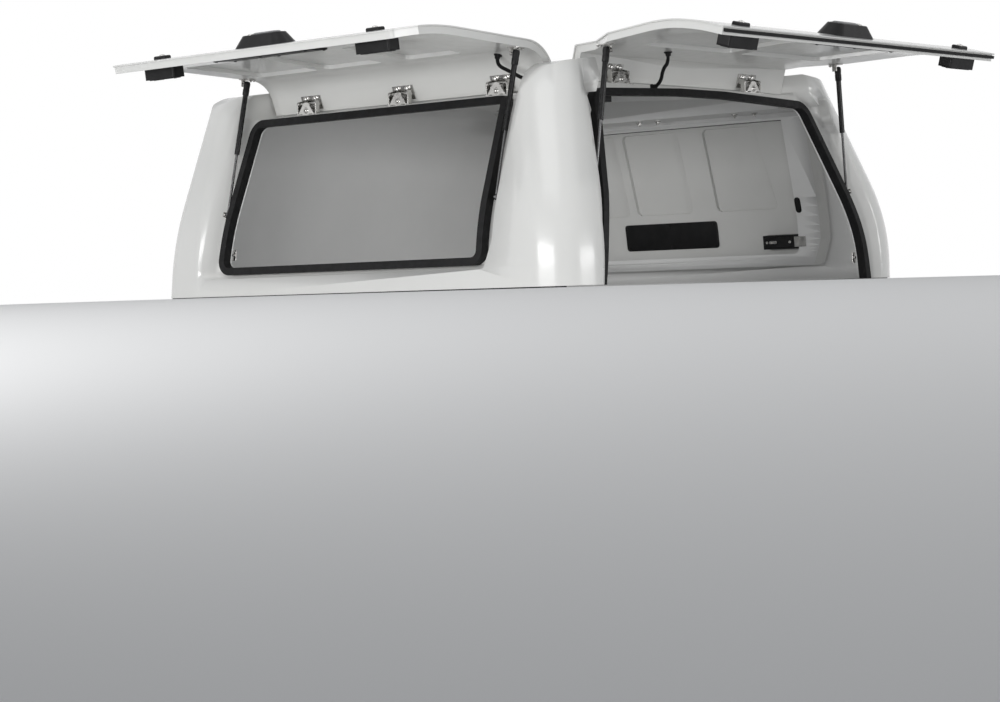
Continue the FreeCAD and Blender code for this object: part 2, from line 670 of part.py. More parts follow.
arm_base = bound("Box", "ArmBase", Length="Sizes.stud_plate_length", Width="Sizes.stud_plate_size",
                 Height="Sizes.stud_plate", at_x=STUD_SIDE, at_y="-Sizes.stud_plate_size / 2",
                 at_z="-Sizes.stud_plate")
arm_leg = bound("Box", "ArmLeg", Length="Sizes.leg_thick", Width="Sizes.leg_width",
                Height="Sizes.stud_depth - Sizes.door_thick + Sizes.ball_radius",
                at_x="-Sizes.socket_length / 2 - Sizes.pivot_gap - Sizes.stud_pin_length - Sizes.leg_thick",
                at_y="-Sizes.leg_width / 2", at_z="-(Sizes.stud_depth - Sizes.door_thick + Sizes.ball_radius)")
arm_pin = turned(bound("Cylinder", "ArmPin", Radius="Sizes.ball_radius",
                       Height="Sizes.stud_pin_length + Sizes.leg_thick / 2",
                       at_x="-Sizes.socket_length / 2 - Sizes.pivot_gap - Sizes.stud_pin_length"
                            " - Sizes.leg_thick / 2",
                       at_z="-(Sizes.stud_depth - Sizes.door_thick)"), Vector(0, 1, 0), 90)
door_stud = joined("DoorStud", arm_base, arm_leg, arm_pin)
lamp_box = bound("Box", "LampBox", Length="Sizes.lamp_length", Width="Sizes.lamp_width",
                 Height="Sizes.lamp_height", at_x="-Sizes.lamp_length / 2", at_y="-Sizes.lamp_width / 2",
                 at_z="-Sizes.lamp_height")
lamp = softened("LampBody", lamp_box, size("latch_round"), [1, 3, 5, 7, 9, 11])
doc.recompute()


def half_turn(frame):
    """The same frame turned half a turn about its outward axis."""
    return frame.multiply(Placement(Vector(0, 0, 0), Rotation(Vector(0, 0, 1), 180)))


def inside(shapes):
    """Fittings under the liner, trimmed to its curved inner face."""
    return [shape.common(door_inner) for shape in shapes]


def outside(shapes):
    """Fittings on the skin, trimmed to its curved outer face."""
    return [shape.cut(outer) for shape in shapes]


side_latches = [side_spot(y, size("side_latch_height"), 0) for y in (back("side_latch_back"), ahead("side_latch_ahead"))]
inward = Placement(Vector(0, 0, -size("door_thick")), Rotation())
closed["right_door_latches"] = Part.makeCompound(
    inside(placed(latch_block, *[f.multiply(inward) for f in side_latches])) + outside(placed(latch_cap, *side_latches)))
latch_x = inset("rear_latch_inset")
rear_latches = [rear_spot(sign * latch_x, size("rear_latch_height"), 0) for sign in (-1, 1)]
closed["rear_door_latches"] = Part.makeCompound(
    inside(placed(latch_block, *[f.multiply(inward) for f in rear_latches])) + outside(placed(latch_cap, *rear_latches)))
side_grip = side_spot(share("side_handle_share"), size("side_handle_height"), 0)
rear_grip = rear_spot(0, size("rear_handle_height"), 0)
closed["right_door_handle"] = Part.makeCompound(outside(placed(handle, side_grip)))
closed["rear_door_handle"] = Part.makeCompound(outside(placed(handle, rear_grip)))
side_cover = side_spot(share("side_cover_share"), size("side_cover_height"), size("door_thick"))
closed["right_door_lock_cover"] = Part.makeCompound(inside(placed(cover_box, side_cover)))
closed["rear_door_lock_cover"] = Part.makeCompound(inside(placed(cover_box, rear_grip.multiply(inward))))

# The strip under the rear door's lower edge

half = inset("rear_inset_low") - size("door_gap") - size("liner_inset") - 4
strip = box_between(-half, half, back("strip_back"), back("strip_back") + size("strip_width"),
                    size("rear_door_foot") - size("strip_drop"), size("rear_door_foot") + size("door_skin") - 1)
strip = strip.cut(closed["rear_door_liner"]).cut(closed["rear_door_skin"])
closed["rear_door_strip"] = Part.makeCompound([max(strip.Solids, key=lambda s: s.Volume)])

# Hinges: a base with two ears on the gutter floor, a leaf with two ears under the door's flange

leaf_outer = form(size("door_thick") + 0.3, -60)
leaf_inner = form(size("door_thick") + size("hinge_plate") + 0.3, -60)


def hinge(name, rise):
    """Hinge base as bound primitives: own X points out of the canopy, Y runs along the pin."""
    foot = bound("Box", name + "Foot", Length="Sizes.hinge_foot", Width="Sizes.hinge_width",
                 Height="Sizes.hinge_plate", at_x="-Sizes.hinge_foot / 2", at_y="-Sizes.hinge_width / 2",
                 at_z="-(" + rise + ")")
    shapes = [foot]
    for number, start in enumerate(("-Sizes.hinge_width / 2", "Sizes.hinge_width / 2 - Sizes.hinge_ear_width")):
        shapes.append(bound("Box", name + "Ear" + str(number), Length="2 * Sizes.hinge_eye_radius",
                            Width="Sizes.hinge_ear_width", Height=rise, at_x="-Sizes.hinge_eye_radius",
                            at_y=start, at_z="-(" + rise + ")"))
        eye = bound("Cylinder", name + "Eye" + str(number), Radius="Sizes.hinge_eye_radius",
                    Height="Sizes.hinge_ear_width", at_x="0", at_y=start + " + Sizes.hinge_ear_width")
        shapes.append(turned(eye, Vector(1, 0, 0), 90))
    pin = bound("Cylinder", name + "Pin", Radius="Sizes.hinge_pin_radius", Height="Sizes.hinge_width",
                at_x="0", at_y="Sizes.hinge_width / 2")
    shapes.append(turned(pin, Vector(1, 0, 0), 90))
    return joined(name, *shapes)


side_hinge = hinge("SideHinge", "Sizes.side_gutter_drop - Sizes.side_hinge_drop")
rear_hinge = hinge("RearHinge", "Sizes.rear_gutter_drop - Sizes.rear_hinge_drop")
doc.recompute()


def leaf(frame):
    """Door leaf of one hinge: a plate that follows the flange's inner face, and two ears on the pin."""
    foot = size("hinge_foot") / 2
    reach = size("hinge_width") / 2
    field = Part.makeBox(2 * foot, 2 * reach, 60, Vector(-foot, -reach, 0))
    field.Placement = frame
    shape = leaf_outer.common(field).cut(leaf_inner)
    inner = reach - size("hinge_ear_width") - 0.5
    for start in (-inner, inner - size("hinge_ear_width")):
        ear = Part.makeBox(2 * size("hinge_eye_radius"), size("hinge_ear_width"), 60,
                           Vector(-size("hinge_eye_radius"), start, 0))
        eye = Part.makeCylinder(size("hinge_eye_radius"), size("hinge_ear_width"), Vector(0, start, 0),
                                Vector(0, 1, 0))
        ear.Placement = frame
        eye.Placement = frame
        shape = shape.fuse(ear.common(leaf_outer)).fuse(eye)
    bore = Part.makeCylinder(size("hinge_pin_radius") + 0.05, 100, Vector(0, -50, 0), Vector(0, 1, 0))
    bore.Placement = frame
    return shape.cut(bore).removeSplitter()


side_pin = Vector(inset("side_hinge_inset"), 0, drop("side_hinge_drop"))
rear_pin = Vector(0, back("rear_hinge_back"), drop("rear_hinge_drop"))
hinge_ends = (back("hinge_back"), ahead("hinge_ahead"))
side_frames = [Placement(Vector(side_pin.x, y, side_pin.z), Rotation())
               for y in (hinge_ends[0], sum(hinge_ends) / 2, hinge_ends[1])]
rear_frames = [Placement(Vector(sign * inset("rear_hinge_inset"), rear_pin.y, rear_pin.z),
                         Rotation(Vector(0, 0, 1), -90)) for sign in (-1, 1)]
right_bases = placed(side_hinge, *side_frames)
rear_bases = placed(rear_hinge, *rear_frames)
closed["right_door_hinge_leaves"] = Part.makeCompound([leaf(frame) for frame in side_frames])
closed["rear_door_hinge_leaves"] = Part.makeCompound([leaf(frame) for frame in rear_frames])

# Strikers, strut studs and door brackets

lining = size("recess_depth") + size("skin")
front_striker = side_spot(ahead("side_striker_ahead"), size("side_latch_height"), lining)
back_striker = half_turn(side_spot(back("side_striker_back"), size("side_latch_height"), lining))
side_strikers = placed(striker, front_striker, back_striker)
striker_x = inset("rear_striker_inset")
left_striker = half_turn(rear_spot(-striker_x, size("rear_striker_height"), lining))
right_striker = rear_spot(striker_x, size("rear_striker_height"), lining)
rear_strikers = placed(striker, left_striker, right_striker)

floor = size("recess_depth")
skin_in = size("door_thick")
stud_back, stud_front = back("side_stud_back"), ahead("side_stud_ahead")
side_ball_back = side_spot(stud_back, drop("side_stud_drop"), size("stud_depth"))
side_ball_front = side_spot(stud_front, drop("side_stud_drop"), size("stud_depth"))
down = Placement(Vector(0, 0, size("stud_depth") - floor), Rotation())
side_studs = placed(floor_stud, side_ball_back.multiply(down), half_turn(side_ball_front).multiply(down))
rear_balls = [rear_spot(sign * inset("rear_stud_inset"), drop("rear_stud_drop"), size("stud_depth"))
              for sign in (-1, 1)]
rear_studs = placed(floor_stud, rear_balls[0].multiply(down), half_turn(rear_balls[1]).multiply(down))
lean = size("side_strut_lean")
side_tops = [side_spot(y - lean, drop("side_bracket_drop"), size("stud_depth")) for y in (stud_back, stud_front)]
rise = Placement(Vector(0, 0, size("stud_depth") - skin_in), Rotation())
closed["right_door_strut_brackets"] = Part.makeCompound(
    placed(door_stud, half_turn(side_tops[0]).multiply(rise), half_turn(side_tops[1]).multiply(rise)))
rear_tops = [rear_spot(sign * inset("rear_bracket_inset"), drop("rear_bracket_drop"), size("stud_depth"))
             for sign in (-1, 1)]
closed["rear_door_strut_brackets"] = Part.makeCompound(
    placed(door_stud, half_turn(rear_tops[0]).multiply(rise), rear_tops[1].multiply(rise)))

# Gas struts: own Z runs from the shell's ball to the door's ball, own X along the ball pins

rod_bar = bound("Cylinder", "RodBar", Radius="Sizes.rod_radius", Height="Sizes.side_rod_length")
rod_eye = bound("Sphere", "RodEye", Radius="Sizes.socket_radius")
side_rod = joined("SideRod", rod_bar, rod_eye)
rear_bar = bound("Cylinder", "RearRodBar", Radius="Sizes.rod_radius", Height="Sizes.rear_rod_length")
rear_eye = bound("Sphere", "RearRodEye", Radius="Sizes.socket_radius")
rear_rod = joined("RearRod", rear_bar, rear_eye)


def tube(name, length):
    """Strut tube with its blind bore, own origin in the door's ball."""
    body = bound("Cylinder", name + "Body", Radius="Sizes.tube_radius", Height=length, at_z="-(" + length + ")")
    eye = bound("Sphere", name + "Eye", Radius="Sizes.socket_radius")
    bore = bound("Cylinder", name + "Bore", Radius="Sizes.bore_radius",
                 Height=length + " - Sizes.gland_length - 12",
                 at_z="-(" + length + ") + Sizes.gland_length")
    gland = bound("Cylinder", name + "Gland", Radius="Sizes.rod_radius + Sizes.rod_clearance",
                  Height="Sizes.gland_length + 2", at_z="-(" + length + ") - 1")
    return less(name, joined(name + "Solid", body, eye), joined(name + "Space", bore, gland))


side_tube = tube("SideTube", "Sizes.side_tube_length")
rear_tube = tube("RearTube", "Sizes.rear_tube_length")
doc.recompute()


def swung(point, pin, axis, angle):
    """A point turned about a hinge pin."""
    return pin + Rotation(axis, angle).multVec(point - pin)


def along_strut(start, end, pin_line):
    """Frame at start whose Z points to end and whose X lies near the ball pins' line."""
    out = (end - start).normalize()
    across = (pin_line - out * pin_line.dot(out)).normalize()
    return across, out.cross(across), out


def strut_set(label, balls, tops, pin, axis, angle, rest_open, rod, cylinder, pin_line):
    """Rods and tubes in the rest pose, and the figures their joints need."""
    rods = []
    tubes = []
    for ball, top in zip(balls, tops):
        shut = top
        opened = swung(top, pin, axis, angle)
        rest = opened if rest_open else shut
        across, up, out = along_strut(ball, rest, pin_line)
        rods += placed(rod, frame_at(across, up, out, ball))
        tubes += placed(cylinder, frame_at(across, up, out, rest))
        d_shut = (shut - ball).normalize()
        d_open = (opened - ball).normalize()
        turn = math.degrees(d_shut.getAngle(d_open))
        swing = d_shut.cross(d_open).normalize()
        travel = (opened - ball).Length - (shut - ball).Length
        print(label, "ball", [round(c / 1000, 6) for c in ball], "axis", [round(c, 6) for c in swing],
              "turn", round(turn, 4), "slide", [round(c, 6) for c in (rest - ball).normalize()],
              "lengths", round((shut - ball).Length, 2), round((opened - ball).Length, 2),
              "ratios", round(turn / angle, 6), round(travel / 1000 / math.radians(angle), 6))
        stray = []
        for part in (0.2, 0.4, 0.6, 0.8):
            true = swung(top, pin, axis, angle * part)
            out = Rotation(swing, turn * part).multVec(d_shut)
            moved = ball + out * ((shut - ball).Length + travel * part)
            stray.append([round(c, 1) for c in moved - true])
        print(label, "stray", stray)
    return Part.makeCompound(rods), Part.makeCompound(tubes)


SIDE_SWING = size("side_open_angle")
REAR_SWING = size("rear_open_angle")
right_balls = [side_ball_back.Base, side_ball_front.Base]
right_tops = [frame.Base for frame in side_tops]
left_balls = [Vector(-p.x, p.y, p.z) for p in right_balls]
left_tops = [Vector(-p.x, p.y, p.z) for p in right_tops]
left_pin = Vector(-side_pin.x, 0, side_pin.z)
for i, place in enumerate(("back", "front")):
    for name, balls, tops, pin, axis, rest_open in (
            ("right", right_balls, right_tops, side_pin, Vector(0, -1, 0), False),
            ("left", left_balls, left_tops, left_pin, Vector(0, 1, 0), True)):
        label = name + "_" + place + "_strut"
        pieces[label + "_rod"], pieces[label + "_tube"] = strut_set(
            label, [balls[i]], [tops[i]], pin, axis, SIDE_SWING, rest_open, side_rod, side_tube, Vector(0, 1, 0))
for i, name in ((0, "rear_left_strut"), (1, "rear_right_strut")):
    pieces[name + "_rod"], pieces[name + "_tube"] = strut_set(
        name, [rear_balls[i].Base], [rear_tops[i].Base], rear_pin, Vector(-1, 0, 0), REAR_SWING, True,
        rear_rod, rear_tube, Vector(1, 0, 0))

# Mirror the side fittings to the left

MIRROR_BASE = Vector(0, 0, 0)
MIRROR_LINE = Vector(1, 0, 0)


def mirrored(shape):
    """The shape on the other side of the canopy's middle plane."""
    return Part.makeCompound([solid.mirror(MIRROR_BASE, MIRROR_LINE) for solid in shape.Solids])


left_bases = [shape.mirror(MIRROR_BASE, MIRROR_LINE) for shape in right_bases]
pieces["hinge_bases"] = Part.makeCompound(left_bases + right_bases + rear_bases)
left_strikers = [shape.mirror(MIRROR_BASE, MIRROR_LINE) for shape in side_strikers]
pieces["door_strikers"] = Part.makeCompound(side_strikers + left_strikers + rear_strikers)
left_studs = [shape.mirror(MIRROR_BASE, MIRROR_LINE) for shape in side_studs]
pieces["shell_strut_studs"] = Part.makeCompound(side_studs + left_studs + rear_studs)

for name in list(closed):
    if name.startswith("right_door"):
        copy = mirrored(closed[name])
        copy.rotate(left_pin, Vector(0, 1, 0), SIDE_SWING)
        pieces[name.replace("right", "left")] = copy
        pieces[name] = closed[name]
    else:
        copy = closed[name].copy()
        copy.rotate(rear_pin, Vector(-1, 0, 0), REAR_SWING)
        pieces[name] = copy

# Interior lamp under the rear header

lamp_spot = Placement(Vector(-inset("lamp_inset"), back("lamp_back"), drop("rear_gutter_drop") - size("skin")),
                      Rotation())
pieces["interior_lamp"] = Part.makeCompound(placed(lamp, lamp_spot))

# Nodes

for name, shape in pieces.items():
    node = doc.addObject("Part::Feature", name)
    node.Shape = shape if len(shape.Solids) != 1 else shape.Solids[0]
    node.Label = name
doc.recompute()

faults = 0
for thing in doc.Objects:
    if "Invalid" in thing.State or "Error" in thing.State:
        print("state", thing.Name, thing.State)
        faults += 1
    if hasattr(thing, "Shape") and (thing.Shape.isNull() or not thing.Shape.isValid()):
        print("shape", thing.Name)
        faults += 1
for name in pieces:
    node = doc.getObject(name)
    print(name, len(node.Shape.Solids), round(node.Shape.Volume / 1000, 1), "cm3")
    node.Shape.exportStep("parts/" + name + ".step")
print("nodes", len(pieces), "faults", faults)
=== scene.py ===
"""Looks of the pickup truck canopy: materials, fittings in detail, light and camera."""
import json
import math

import bmesh
import bpy
from mathutils import Matrix, Vector
from mathutils.bvhtree import BVHTree


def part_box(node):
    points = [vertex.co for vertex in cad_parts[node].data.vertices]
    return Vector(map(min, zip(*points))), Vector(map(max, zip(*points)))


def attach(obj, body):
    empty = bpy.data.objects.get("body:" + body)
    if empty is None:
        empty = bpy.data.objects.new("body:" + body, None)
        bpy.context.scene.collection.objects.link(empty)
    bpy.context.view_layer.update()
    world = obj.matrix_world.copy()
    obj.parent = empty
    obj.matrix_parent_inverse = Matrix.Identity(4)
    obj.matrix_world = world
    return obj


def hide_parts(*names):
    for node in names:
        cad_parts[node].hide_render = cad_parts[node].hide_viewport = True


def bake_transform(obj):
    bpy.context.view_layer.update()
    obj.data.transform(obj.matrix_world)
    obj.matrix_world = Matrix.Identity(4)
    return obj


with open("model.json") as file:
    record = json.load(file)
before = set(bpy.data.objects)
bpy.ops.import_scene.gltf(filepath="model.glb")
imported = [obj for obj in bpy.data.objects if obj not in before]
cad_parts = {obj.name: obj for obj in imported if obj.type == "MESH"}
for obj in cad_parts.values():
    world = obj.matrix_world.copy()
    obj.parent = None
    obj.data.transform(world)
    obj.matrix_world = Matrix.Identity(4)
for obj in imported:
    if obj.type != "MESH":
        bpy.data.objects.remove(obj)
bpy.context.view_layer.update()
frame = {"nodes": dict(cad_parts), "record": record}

# Sizes that the details share with the solids, in metres

REAR = -1.669
FRONT = 0.021
HALF = 0.835
BELT = 0.180
BEND = 0.800
LEAN = math.radians(16.8)
RAKE = math.radians(18.5)
SIDE_SWING = math.radians(77)
REAR_SWING = math.radians(74.5)
DOOR_DEPTH = 0.025
SPLIT_Y = FRONT - 0.150
SPLIT_Z = 0.536

SIDE_PIN = Vector((0.600, 0, 0.598))
REAR_PIN = Vector((0, REAR + 0.225, 0.624))
BACK_HINGE_Y = REAR + 0.453
FRONT_HINGE_Y = FRONT - 0.439
REAR_HINGE_X = HALF - 0.509

STRUT_DEPTH = 0.043
SIDE_STRUT_YS = {"back": REAR + 0.326, "front": FRONT - 0.236}
SIDE_STRUT_LEAN = 0.034
SIDE_STUD_Z, SIDE_EYE_Z = 0.272, 0.528
REAR_STUD_X, REAR_STUD_Z = HALF - 0.211, 0.294
REAR_EYE_X, REAR_EYE_Z = HALF - 0.261, 0.495

STRIKER_DEPTH = 0.040
SIDE_STRIKERS = ((FRONT - 0.250, 1), (REAR + 0.364, -1))
REAR_STRIKER_X, REAR_STRIKER_Z = HALF - 0.191, 0.072
SIDE_LATCH_YS = (REAR + 0.452, FRONT - 0.340)
SIDE_LATCH_Z = 0.138
REAR_LATCH_X, REAR_LATCH_Z = HALF - 0.280, 0.052
SIDE_HANDLE_Z = 0.146
SIDE_COVER_Z = 0.173
REAR_LOCK_Z = 0.090

UP = Vector((0, 0, 1))
RIGHT = Vector((1, 0, 0))
AHEAD = Vector((0, 1, 0))
MIDDLE = Vector((0, -0.8, 0))

# Camera: the photograph's place and aim, and its size in pixels

PHOTO_WIDTH = 1000
PHOTO_MIDDLE = (500, 351)
SENSOR = 36.0
YAW, PITCH, ROLL = math.radians(48.018), math.radians(1.309), math.radians(1.679)
FOCAL = 2437.87
EYE = Vector((-5.8805, -4.2751 + REAR, -0.0164))

forward = Vector((math.sin(YAW) * math.cos(PITCH), math.cos(YAW) * math.cos(PITCH), -math.sin(PITCH)))
level = Vector((math.cos(YAW), -math.sin(YAW), 0))
below = forward.cross(level)
right = level * math.cos(ROLL) + below * math.sin(ROLL)
down = -level * math.sin(ROLL) + below * math.cos(ROLL)
lens = bpy.data.cameras.new("camera")
lens.sensor_width = SENSOR
lens.lens = FOCAL * SENSOR / PHOTO_WIDTH
lens.clip_start = 0.1
lens.clip_end = 100.0
camera = bpy.data.objects.new("camera", lens)
bpy.context.collection.objects.link(camera)
turn = Matrix((right, -down, -forward)).transposed()
camera.matrix_world = Matrix.Translation(EYE) @ turn.to_4x4()
bpy.context.scene.camera = camera
bpy.context.scene.view_settings.view_transform = "Standard"


# Material helpers

def material(name):
    """New node material with its tree and shader."""
    mat = bpy.data.materials.new(name)
    mat.use_nodes = True
    tree = mat.node_tree
    return mat, tree, tree.nodes["Principled BSDF"]


def noise(tree, scale, detail=6.0, rough=0.55, stretch=(1, 1, 1)):
    """Noise in the object's own coordinates."""
    coord = tree.nodes.new("ShaderNodeTexCoord")
    mapping = tree.nodes.new("ShaderNodeMapping")
    mapping.inputs["Scale"].default_value = stretch
    node = tree.nodes.new("ShaderNodeTexNoise")
    node.inputs["Scale"].default_value = scale
    node.inputs["Detail"].default_value = detail
    node.inputs["Roughness"].default_value = rough
    tree.links.new(coord.outputs["Object"], mapping.inputs["Vector"])
    tree.links.new(mapping.outputs["Vector"], node.inputs["Vector"])
    return node.outputs["Fac"]


def tint(tree, shader, source, dark, pale, start=0.3, end=0.7):
    """Base colour that runs from dark to pale while the source goes from start to end."""
    node = tree.nodes.new("ShaderNodeValToRGB")
    for element, place, colour in zip(node.color_ramp.elements, (start, end), (dark, pale)):
        element.position = place
        element.color = (*colour, 1)
    tree.links.new(source, node.inputs["Fac"])
    tree.links.new(node.outputs["Color"], shader.inputs["Base Color"])


def gloss(tree, shader, source, low, high):
    """Roughness between low and high, over the middle of the source's range."""
    node = tree.nodes.new("ShaderNodeMapRange")
    node.inputs["From Min"].default_value = 0.3
    node.inputs["From Max"].default_value = 0.7
    node.inputs["To Min"].default_value = low
    node.inputs["To Max"].default_value = high
    tree.links.new(source, node.inputs["Value"])
    tree.links.new(node.outputs["Result"], shader.inputs["Roughness"])


def relief(tree, shader, source, distance, edge=0.0):
    """Fine surface relief, and soft light along edges over the width edge."""
    node = tree.nodes.new("ShaderNodeBump")
    node.inputs["Distance"].default_value = distance
    tree.links.new(source, node.inputs["Height"])
    if edge:
        soft = tree.nodes.new("ShaderNodeBevel")
        soft.samples = 4
        soft.inputs["Radius"].default_value = edge
        tree.links.new(soft.outputs["Normal"], node.inputs["Normal"])
    tree.links.new(node.outputs["Normal"], shader.inputs["Normal"])


# Materials

def gelcoat():
    """Glossy off-white gelcoat, faintly clouded, with a touch of orange peel."""
    mat, tree, shader = material("white gelcoat")
    tint(tree, shader, noise(tree, 3.0, 8.0, 0.6), (0.700, 0.700, 0.682), (0.722, 0.722, 0.706))
    gloss(tree, shader, noise(tree, 26.0, 8.0, 0.65), 0.19, 0.27)
    shader.inputs["Coat Weight"].default_value = 0.25
    shader.inputs["Coat Roughness"].default_value = 0.08
    relief(tree, shader, noise(tree, 150.0, 2.0), 0.00006, 0.0025)
    return mat


def flowcoat():
    """Satin light grey inside of the moulding, with the glass strands' faint print."""
    mat, tree, shader = material("grey flowcoat")
    tint(tree, shader, noise(tree, 6.0, 8.0), (0.735, 0.737, 0.73), (0.765, 0.765, 0.758))
    gloss(tree, shader, noise(tree, 60.0), 0.40, 0.55)
    relief(tree, shader, noise(tree, 90.0, 6.0, 0.7, (1, 1.8, 1)), 0.00035, 0.002)
    return mat


def rubber():
    """Black rubber with a dusty bloom."""
    mat, tree, shader = material("black rubber")
    tint(tree, shader, noise(tree, 40.0), (0.006, 0.006, 0.0065), (0.014, 0.014, 0.0145), 0.35, 0.75)
    gloss(tree, shader, noise(tree, 90.0), 0.48, 0.66)
    shader.inputs["Specular IOR Level"].default_value = 0.18
    relief(tree, shader, noise(tree, 420.0, 3.0), 0.00012)
    return mat


def plastic():
    """Black moulded plastic with a fine grain."""
    mat, tree, shader = material("black plastic")
    tint(tree, shader, noise(tree, 25.0), (0.006, 0.006, 0.0065), (0.011, 0.011, 0.0115), 0.35)
    gloss(tree, shader, noise(tree, 60.0), 0.34, 0.46)
    shader.inputs["Specular IOR Level"].default_value = 0.2
    relief(tree, shader, noise(tree, 900.0, 2.0), 0.0001, 0.0015)
    return mat


def grey_plastic():
    """Grey satin plastic of the handle's paddle."""
    mat, tree, shader = material("grey plastic")
    tint(tree, shader, noise(tree, 40.0), (0.20, 0.205, 0.21), (0.25, 0.255, 0.26), 0.35)
    gloss(tree, shader, noise(tree, 80.0), 0.34, 0.46)
    relief(tree, shader, noise(tree, 700.0, 2.0), 0.0001, 0.001)
    return mat


def steel():
    """Polished stainless steel with light smears."""
    mat, tree, shader = material("stainless steel")
    tint(tree, shader, noise(tree, 30.0), (0.46, 0.455, 0.44), (0.62, 0.61, 0.595))
    shader.inputs["Metallic"].default_value = 1.0
    gloss(tree, shader, noise(tree, 55.0), 0.13, 0.30)
    relief(tree, shader, noise(tree, 300.0, 3.0, 0.5, (1, 1, 6)), 0.00006, 0.0012)
    return mat


def enamel():
    """Black strut enamel."""
    mat, tree, shader = material("black enamel")
    tint(tree, shader, noise(tree, 50.0), (0.005, 0.005, 0.0055), (0.009, 0.009, 0.0095))
    gloss(tree, shader, noise(tree, 70.0), 0.2, 0.34)
    shader.inputs["Specular IOR Level"].default_value = 0.24
    relief(tree, shader, noise(tree, 500.0, 2.0), 0.00005)
    return mat


def rod_steel():
    """Dark nitrided rod."""
    mat, tree, shader = material("strut rod")
    tint(tree, shader, noise(tree, 50.0), (0.07, 0.07, 0.072), (0.12, 0.12, 0.122))
    shader.inputs["Metallic"].default_value = 0.85
    gloss(tree, shader, noise(tree, 70.0), 0.18, 0.3)
    relief(tree, shader, noise(tree, 500.0, 2.0, 0.5, (1, 1, 8)), 0.00004)
    return mat


def pale_floor():
    """Matt pale floor."""
    mat, tree, shader = material("pale floor")
    shader.inputs["Base Color"].default_value = (0.84, 0.84, 0.84, 1)
    shader.inputs["Roughness"].default_value = 0.9
    return mat


GEL, FLOW, RUBBER, PLASTIC = gelcoat(), flowcoat(), rubber(), plastic()
GREY, STEEL, ENAMEL, ROD = grey_plastic(), steel(), enamel(), rod_steel()
LOOKS = {"white_gelcoat": GEL, "black_rubber": RUBBER, "black_plastic": PLASTIC,
         "polished_steel": STEEL, "strut_black": ENAMEL, "strut_rod": ROD}


# Mesh helpers

def shade(obj, angle=32):
    """Smooth shading that keeps edges sharper than angle."""
    for polygon in obj.data.polygons:
        polygon.use_smooth = True
    obj.data.set_sharp_from_angle(angle=math.radians(angle))


def piece(name, bm, body, look, angle=32):
    """Object from a bmesh that rides on a body, if one is named, with the given material or materials."""
    bmesh.ops.recalc_face_normals(bm, faces=bm.faces)
    mesh = bpy.data.meshes.new(name)
    bm.to_mesh(mesh)
    bm.free()
    obj = bpy.data.objects.new(name, mesh)
    bpy.context.collection.objects.link(obj)
    for mat in look if isinstance(look, (list, tuple)) else [look]:
        mesh.materials.append(mat)
    shade(obj, angle)
    if body:
        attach(obj, body)
    return obj


def merged(names, keep=None):
    """Copy of CAD nodes in one bmesh, welded, without the triangles that keep refuses."""
    bm = bmesh.new()
    for name in names:
        bm.from_mesh(frame["nodes"][name].data)
    if keep:
        gone = [face for face in bm.faces if not keep(face)]
        bmesh.ops.delete(bm, geom=gone, context="FACES")
    bmesh.ops.remove_doubles(bm, verts=bm.verts, dist=0.00003)
    return bm


def circle(radius, count):
    """Points round a circle."""
    turns = [2 * math.pi * k / count for k in range(count)]
    return [(radius * math.cos(a), radius * math.sin(a)) for a in turns]


def lathe(bm, matrix, profile, count, index=0):
    """Turned form about the matrix's own Z, from (radius, height) pairs."""
    rings = []
    for radius, height in profile:
        spots = circle(radius, count) if radius > 1e-6 else [(0, 0)]
        rings.append([bm.verts.new(matrix @ Vector((x, y, height))) for x, y in spots])
    for low, high in zip(rings, rings[1:]):
        for k in range(count):
            after = (k + 1) % count
            if len(low) == 1:
                face = bm.faces.new((low[0], high[k], high[after]))
            elif len(high) == 1:
                face = bm.faces.new((low[k], high[0], low[after]))
            else:
                face = bm.faces.new((low[k], high[k], high[after], low[after]))
            face.material_index = index


def stack(bm, rings, index=0):
    """Closed form over rings of vertices, from its foot to its top."""
    count = len(rings[0])
    for low, high in zip(rings, rings[1:]):
        for k in range(count):
            after = (k + 1) % count
            bm.faces.new((low[k], low[after], high[after], high[k])).material_index = index
    bm.faces.new(list(reversed(rings[0]))).material_index = index
    bm.faces.new(rings[-1]).material_index = index


def ring_plan(length, width, corner, steps=6):
    """Points of a rounded rectangle."""
    points = []
    for sx, sy, start in ((1, 1, 0), (-1, 1, 90), (-1, -1, 180), (1, -1, 270)):
        for k in range(steps + 1):
            a = math.radians(start + 90 * k / steps)
            points.append((sx * (length / 2 - corner) + corner * math.cos(a),
                           sy * (width / 2 - corner) + corner * math.sin(a)))
    return points


def pad(bm, matrix, length, width, corner, layers, index=0):
    """Closed form on a rounded rectangle; layers are (inset, height) from its foot to its top."""
    rings = []
    for inset, height in layers:
        ring = ring_plan(length - 2 * inset, width - 2 * inset, max(corner - inset, 0.0006))
        rings.append([bm.verts.new(matrix @ Vector((x, y, height))) for x, y in ring])
    stack(bm, rings, index)


def wedge(bm, matrix, low_half, high_half, height, thick):
    """Upright trapezoid plate with softened edges; own X across, Y up, Z through its thickness."""
    half_outline = [(low_half, 0), (low_half, 0.10 * height), (high_half, 0.72 * height),
                    (0.72 * high_half, 0.93 * height), (0.30 * high_half, height)]
    outline = half_outline + [(-x, y) for x, y in reversed(half_outline)]
    middle = height / 2
    rings = []
    for share, z in ((1.0, 0.0), (1.0, thick * 0.65), (0.965, thick)):
        rings.append([bm.verts.new(matrix @ Vector((x * share, middle + (y - middle) * share, z)))
                      for x, y in outline])
    stack(bm, rings)


# Places and directions

def basis(x, y, z, point):
    """Matrix from three directions and a point."""
    return Matrix.Translation(point) @ Matrix((x, y, z)).transposed().to_4x4()


def at(point, normal, along=AHEAD):
    """Matrix at a point whose own Z is the normal."""
    z = normal.normalized()
    x = along - z * along.dot(z)
    if x.length < 1e-4:
        x = RIGHT - z * z.x
    x.normalize()
    return basis(x, z.cross(x), z, point)


